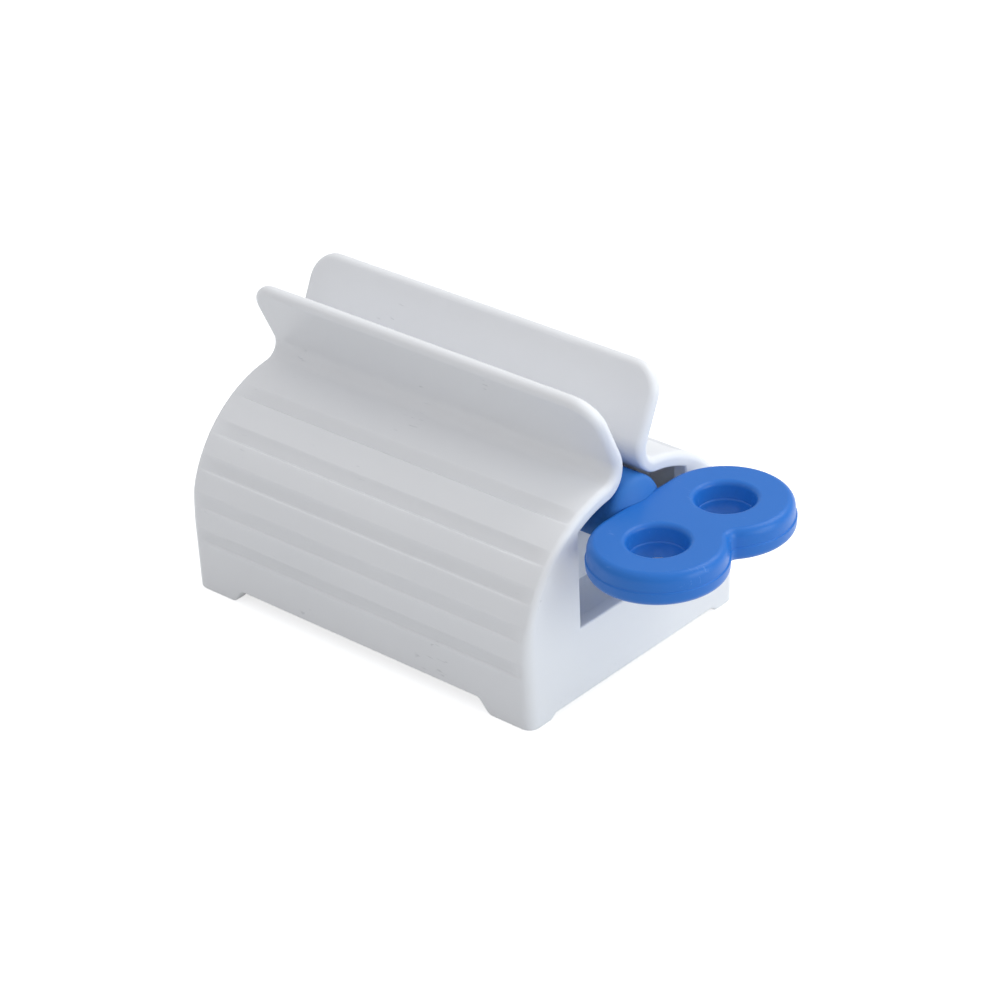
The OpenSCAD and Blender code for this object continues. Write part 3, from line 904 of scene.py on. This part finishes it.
def plateCutter(name):
    # the plate's straight side with its rounded edges, run across the spindle with a little clearance
    edge = [(plateX + inset - gap, axisHigh + z * (1 + gap / halfThick)) for inset, z in rimProfile()]
    deepX = plateX + spindle["cutDeep"]
    outline = [(deepX, edge[0][1])] + edge + [(deepX, edge[-1][1])]
    rows = [[(x, y, z) for x, z in outline] for y in (-cutReach, cutReach)]
    skin = Skin()
    skin.patch(rows, loop=True)
    skin.face(rows[0])
    skin.face(rows[1])
    return skin.build(name)


cuts = [("splitCut", (spindleLow.x - cutSpare, -halfSplit, axisHigh - cutReach),
         (splitEnd, halfSplit, axisHigh + cutReach)),
        ("socketCut", (handleLow.x - gap, -tabHalf - gap, axisHigh - tabHigh - gap),
         (plateX + cutSpare / 2, tabHalf + gap, axisHigh + tabHigh + gap))]
cutters = [softBlock(name, low, high, spindle["cutSoft"], 1) for name, low, high in cuts]
meltSolids(windingBar, cutters + [plateCutter("plateCut")], spindleFinish, "DIFFERENCE")
evenNormals(windingBar)
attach(windingBar, "key")
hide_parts("winding_spindle")
print("winding spindle made")


# bearing cradle: the inner floor, with an open bearing post near each end and stiffening ribs below
# meet is how far the floor runs past its solid's ends, into the end plates

cradle = dict(top=13.0, floor=1.8, soft=0.03, meet=0.195, postThick=2.4, postWide=16.6, postFoot=22.0,
              postSoft=0.2, seat=5.85, seatSteps=60, nearPost=13.0, ribThick=1.4, ribCount=4, ribReach=42.4,
              ribSoft=0.25)


def postOutline():
    # a post as (y, z): wide at the floor, with a round seat open at the top
    half, foot, seat = cradle["postWide"] / 2, cradle["postFoot"] / 2, cradle["seat"]
    top, low = cradleHigh.z, cradle["top"] - cradle["floor"] / 2
    mouth = math.asin((top - axisHigh) / seat)
    arc = [(seat * math.cos(t), axisHigh + seat * math.sin(t))
           for t in sweep(mouth, -math.pi - mouth, cradle["seatSteps"])]
    side = [(foot, low), (half, axisHigh), (half, top)]
    return side + arc + [(-y, z) for y, z in side[::-1]]


def repeatTree(name, turns):
    # sets copies of a piece out along a line, one at each place for each turn
    tree, given, result = newTree(name, [("Count", "Int"), ("Start", "Vector"), ("Step", "Vector")])
    link = tree.links.new
    line = tree.nodes.new("GeometryNodeMeshLine")
    line.mode = "OFFSET"
    gather = tree.nodes.new("GeometryNodeJoinGeometry")
    link(given.outputs["Count"], line.inputs["Count"])
    link(given.outputs["Start"], line.inputs["Start Location"])
    link(given.outputs["Step"], line.inputs["Offset"])
    for turn in turns:
        copy = tree.nodes.new("GeometryNodeInstanceOnPoints")
        copy.inputs["Rotation"].default_value = (0, 0, turn)
        link(line.outputs["Mesh"], copy.inputs["Points"])
        link(given.outputs["Geometry"], copy.inputs["Instance"])
        link(copy.outputs["Instances"], gather.inputs["Geometry"])
    closeTree(tree, given, result, gather)
    return tree


def setOut(piece, name, turns, finish, count, start, step):
    applyTree(piece, repeatTree(name, turns), {"Count": count, "Start": (start * mm, 0, 0),
                                               "Step": (step * mm, 0, 0), "Finish": finish})


def makeCradle():
    low, high = cradleLow, Vector((cradleHigh.x, cradleHigh.y, cradle["top"]))
    bottom, rib, soft = cradle["top"] - cradle["floor"], cradle["ribThick"], cradle["ribSoft"]
    meet = Vector((cradle["meet"], 0, 0))
    floor = softBlock("cradleFloor", Vector((low.x, low.y, bottom)) - meet, high + meet, cradle["soft"])
    posts = [softPrism(f"post{x:.0f}", postOutline(), x, x + cradle["postThick"], cradle["postSoft"])
             for x in (low.x, cradle["nearPost"])]
    ribTop = bottom + cradle["floor"] / 2
    ribY = cradle["postFoot"] / 2
    lengthways = [softBlock(f"rib{side}", (low.x, side * ribY - rib / 2, low.z),
                            (high.x, side * ribY + rib / 2, ribTop), soft) for side in (-1, 1)]
    across = softBlock("ribsAcross", (-rib / 2, -cradle["ribReach"] / 2, low.z),
                       (rib / 2, cradle["ribReach"] / 2, ribTop), soft)
    pitch = (high.x - low.x - rib) / (cradle["ribCount"] - 1)
    setOut(across, "floorRibs", [0], shadedInnerFinish, cradle["ribCount"], low.x + rib / 2, pitch)
    return meltSolids(floor, posts + lengthways + [across], shadedInnerFinish)


bearingCradle = makeCradle()
bearingCradle.name = "bearingCradle"
evenNormals(bearingCradle)
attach(bearingCradle, "holder")
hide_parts("bearing_cradle")
print("bearing cradle made")


# inside the shell: two ribs and two snaps at each side, which hold the cradle's floor between them

stops = dict(inset=15.0, deep=1.4, thick=1.8, high=11.15, snapDeep=0.9, snapHigh=2.4, snapWide=6.0,
             soft=0.2, arcSteps=14)


def stopOutline():
    # a stop rib as (y, z), from inside the wall to its own face
    rise = cradle["top"] - shell["wallTop"]
    rows = []
    for depth in (halfWall, shell["wall"] + stops["deep"]):
        reach = shell["shoulder"] - depth
        first, last = math.asin(rise / reach), math.asin(min((rise + stops["high"]) / reach, 1))
        rows.append([(shoulderY + reach * math.cos(t), shell["wallTop"] + reach * math.sin(t))
                     for t in sweep(first, last, stops["arcSteps"])])
    return rows[0] + rows[1][::-1]


def snapOutline():
    # a snap as (y, z): a wedge under the floor's edge
    under, wallY = cradle["top"] - cradle["floor"], holderWide / 2 - shell["wall"]
    low = under - stops["snapHigh"]
    return [(wallY + halfWall, under), (wallY - stops["snapDeep"], under), (wallY, low),
            (wallY + halfWall, low)]


shellStops = softPrism("shellStops", stopOutline(), -stops["thick"] / 2, stops["thick"] / 2, stops["soft"])
snap = softPrism("snap", snapOutline(), -stops["snapWide"] / 2, stops["snapWide"] / 2, stops["soft"])
meltSolids(shellStops, [snap], whiteFinish)
between = 2 * (halfLong - stops["inset"])
setOut(shellStops, "stopPairs", [0, math.pi], whiteFinish, 2, holderMiddle - between / 2, between)
evenNormals(shellStops)
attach(shellStops, "holder")
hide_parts("holder_shell")
print("stops and snaps made")


# floor, light and background: places and sizes here are metres, low and high are the sky's strengths

stage = dict(floorWide=4.0, floor=(0.62, 0.63, 0.64), floorRough=0.8, floorGlow=0.72, low=0.48, high=0.86,
             skyColour=(0.98, 0.985, 1.0))
lamps = [dict(name="windowLight", place=(0.25, 0.58, 0.80), size=0.7, watts=3.2, colour=(0.97, 0.985, 1.0)),
         dict(name="sideLight", place=(1.50, 0.35, 0.42), size=1.1, watts=8.8, colour=(0.86, 0.95, 1.0))]


def makeFloor():
    mesh = bpy.data.meshes.new("floor")
    half = stage["floorWide"] / 2
    corners = [(-half, -half, 0), (half, -half, 0), (half, half, 0), (-half, half, 0)]
    mesh.from_pydata(corners, [], [(0, 1, 2, 3)])
    finish = bpy.data.materials.new("paleFloor")
    finish.use_nodes = True
    tree = finish.node_tree
    link = tree.links.new
    shader = tree.nodes["Principled BSDF"]
    shader.inputs["Base Color"].default_value = (*stage["floor"], 1)
    shader.inputs["Roughness"].default_value = stage["floorRough"]
    # the camera and reflections see it white, and it throws back no more light than its colour does
    glow = nodeIn(tree, "ShaderNodeEmission", Strength=stage["floorGlow"])
    ray = tree.nodes.new("ShaderNodeLightPath")
    seen = tree.nodes.new("ShaderNodeMath")
    seen.operation = "MAXIMUM"
    lit, pick = tree.nodes.new("ShaderNodeAddShader"), tree.nodes.new("ShaderNodeMixShader")
    link(ray.outputs["Is Camera Ray"], seen.inputs[0])
    link(ray.outputs["Is Glossy Ray"], seen.inputs[1])
    link(shader.outputs[0], lit.inputs[0])
    link(glow.outputs[0], lit.inputs[1])
    link(seen.outputs[0], pick.inputs["Fac"])
    link(shader.outputs[0], pick.inputs[1])
    link(lit.outputs[0], pick.inputs[2])
    link(pick.outputs[0], tree.nodes["Material Output"].inputs["Surface"])
    mesh.materials.append(finish)
    floor = addPiece("floor", mesh)


def makeLamp(lamp):
    light = bpy.data.lights.new(lamp["name"], "AREA")
    light.shape, light.size = "DISK", lamp["size"]
    light.energy, light.color = lamp["watts"], lamp["colour"]
    stand = addPiece(lamp["name"], light)
    stand.location = lamp["place"]
    stand.rotation_euler = Vector(lamp["place"]).to_track_quat("Z", "Y").to_euler()


def makeSky():
    # brighter overhead than near the horizon, and plain white to the camera
    world = bpy.data.worlds.new("studio")
    bpy.context.scene.world = world
    world.use_nodes = True
    tree = world.node_tree
    link = tree.links.new
    room = tree.nodes["Background"]
    room.inputs["Color"].default_value = (*stage["skyColour"], 1)
    way, split = tree.nodes.new("ShaderNodeTexCoord"), tree.nodes.new("ShaderNodeSeparateXYZ")
    rise = nodeIn(tree, "ShaderNodeMapRange", To_Min=stage["low"], To_Max=stage["high"])
    link(way.outputs["Generated"], split.inputs[0])
    link(split.outputs["Z"], rise.inputs["Value"])
    link(rise.outputs["Result"], room.inputs["Strength"])
    white = nodeIn(tree, "ShaderNodeBackground", Color=(1, 1, 1, 1))
    pick, ray = tree.nodes.new("ShaderNodeMixShader"), tree.nodes.new("ShaderNodeLightPath")
    link(ray.outputs["Is Camera Ray"], pick.inputs["Fac"])
    link(room.outputs[0], pick.inputs[1])
    link(white.outputs[0], pick.inputs[2])
    link(pick.outputs[0], tree.nodes["World Output"].inputs["Surface"])


makeFloor()
for lamp in lamps:
    makeLamp(lamp)
makeSky()
bpy.context.scene.view_settings.view_transform = "Standard"
print("stage set")
